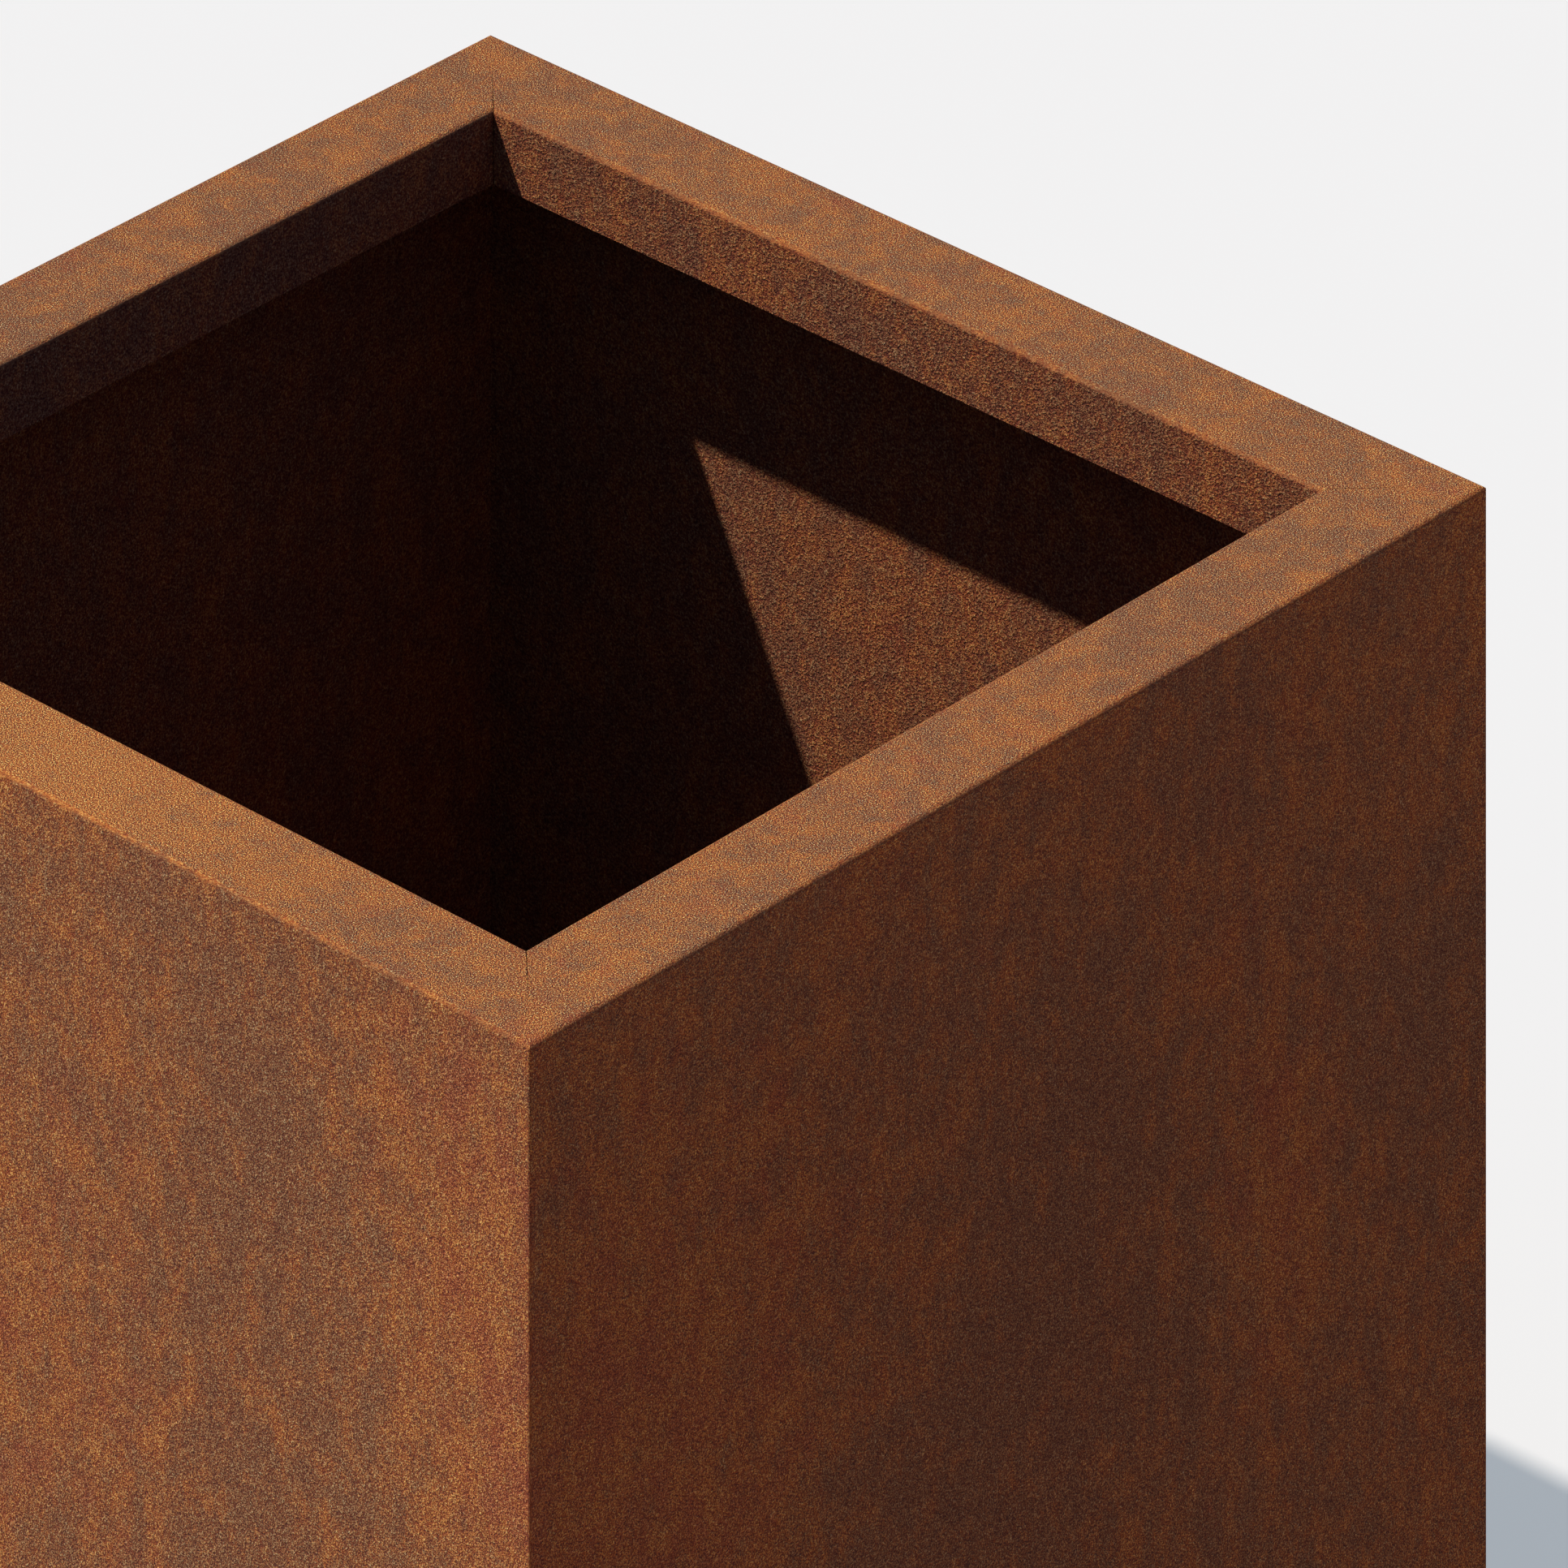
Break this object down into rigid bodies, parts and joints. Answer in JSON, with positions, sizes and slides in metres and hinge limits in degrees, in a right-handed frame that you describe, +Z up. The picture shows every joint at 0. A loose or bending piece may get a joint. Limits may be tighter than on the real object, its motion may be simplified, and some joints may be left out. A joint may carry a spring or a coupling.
{
  "type": "planter box",
  "caption": "Square planter box of folded weathering-steel sheet with a flat mitred rim and return lip, a raised drained floor on ledger angles and screw-adjustable levelling feet.",
  "frame": {"origin": "on the ground, under the middle of the box", "axes": "+X to the right, +Y to the rear, +Z up"},
  "size_m": [0.7, 0.7, 0.735],
  "materials": {
    "weathering_steel": "matte",
    "weathering_steel_inner": "matte",
    "stainless_steel": "satin",
    "nylon": "matte",
    "rubber": "matte"
  },
  "bodies": {
    "planter": {"wall_front": "weathering_steel", "wall_rear": "weathering_steel", "wall_left": "weathering_steel", "wall_right": "weathering_steel", "floor_plate": "weathering_steel_inner", "ledger_front": "weathering_steel_inner", "ledger_rear": "weathering_steel_inner", "ledger_left": "weathering_steel_inner", "ledger_right": "weathering_steel_inner", "floor_rib_front": "weathering_steel_inner", "floor_rib_rear": "weathering_steel_inner", "foot_plate_front_left": "weathering_steel_inner", "foot_plate_front_right": "weathering_steel_inner", "foot_plate_rear_left": "weathering_steel_inner", "foot_plate_rear_right": "weathering_steel_inner", "weld_nuts": "stainless_steel", "lock_nuts": "stainless_steel"},
    "pad_front_left": {"foot_pad_front_left": "nylon", "foot_sole_front_left": "rubber"},
    "spindle_front_left": {"foot_spindle_front_left": "stainless_steel"},
    "pad_front_right": {"foot_pad_front_right": "nylon", "foot_sole_front_right": "rubber"},
    "spindle_front_right": {"foot_spindle_front_right": "stainless_steel"},
    "pad_rear_left": {"foot_pad_rear_left": "nylon", "foot_sole_rear_left": "rubber"},
    "spindle_rear_left": {"foot_spindle_rear_left": "stainless_steel"},
    "pad_rear_right": {"foot_pad_rear_right": "nylon", "foot_sole_rear_right": "rubber"},
    "spindle_rear_right": {"foot_spindle_rear_right": "stainless_steel"}
  },
  "joints": [
    {"name": "foot_travel_front_left", "type": "slide", "parent": "planter", "child": "pad_front_left", "axis": [0, 0, -1], "range_m": [0, 0.025]},
    {"name": "spindle_turn_front_left", "type": "hinge", "parent": "pad_front_left", "child": "spindle_front_left", "pos_m": [-0.288, -0.288, 0.03], "axis": [0, 0, -1], "range_deg": [0, 5143]},
    {"name": "foot_travel_front_right", "type": "slide", "parent": "planter", "child": "pad_front_right", "axis": [0, 0, -1], "range_m": [0, 0.025]},
    {"name": "spindle_turn_front_right", "type": "hinge", "parent": "pad_front_right", "child": "spindle_front_right", "pos_m": [0.288, -0.288, 0.03], "axis": [0, 0, -1], "range_deg": [0, 5143]},
    {"name": "foot_travel_rear_left", "type": "slide", "parent": "planter", "child": "pad_rear_left", "axis": [0, 0, -1], "range_m": [0, 0.025]},
    {"name": "spindle_turn_rear_left", "type": "hinge", "parent": "pad_rear_left", "child": "spindle_rear_left", "pos_m": [-0.288, 0.288, 0.03], "axis": [0, 0, -1], "range_deg": [0, 5143]},
    {"name": "foot_travel_rear_right", "type": "slide", "parent": "planter", "child": "pad_rear_right", "axis": [0, 0, -1], "range_m": [0, 0.025]},
    {"name": "spindle_turn_rear_right", "type": "hinge", "parent": "pad_rear_right", "child": "spindle_rear_right", "pos_m": [0.288, 0.288, 0.03], "axis": [0, 0, -1], "range_deg": [0, 5143]}
  ],
  "couplings": [
    {"joint": "spindle_turn_front_left", "follows": "foot_travel_front_left", "rad_per_m": 3590.4},
    {"joint": "spindle_turn_front_right", "follows": "foot_travel_front_right", "rad_per_m": 3590.4},
    {"joint": "spindle_turn_rear_left", "follows": "foot_travel_rear_left", "rad_per_m": 3590.4},
    {"joint": "spindle_turn_rear_right", "follows": "foot_travel_rear_right", "rad_per_m": 3590.4}
  ]
}
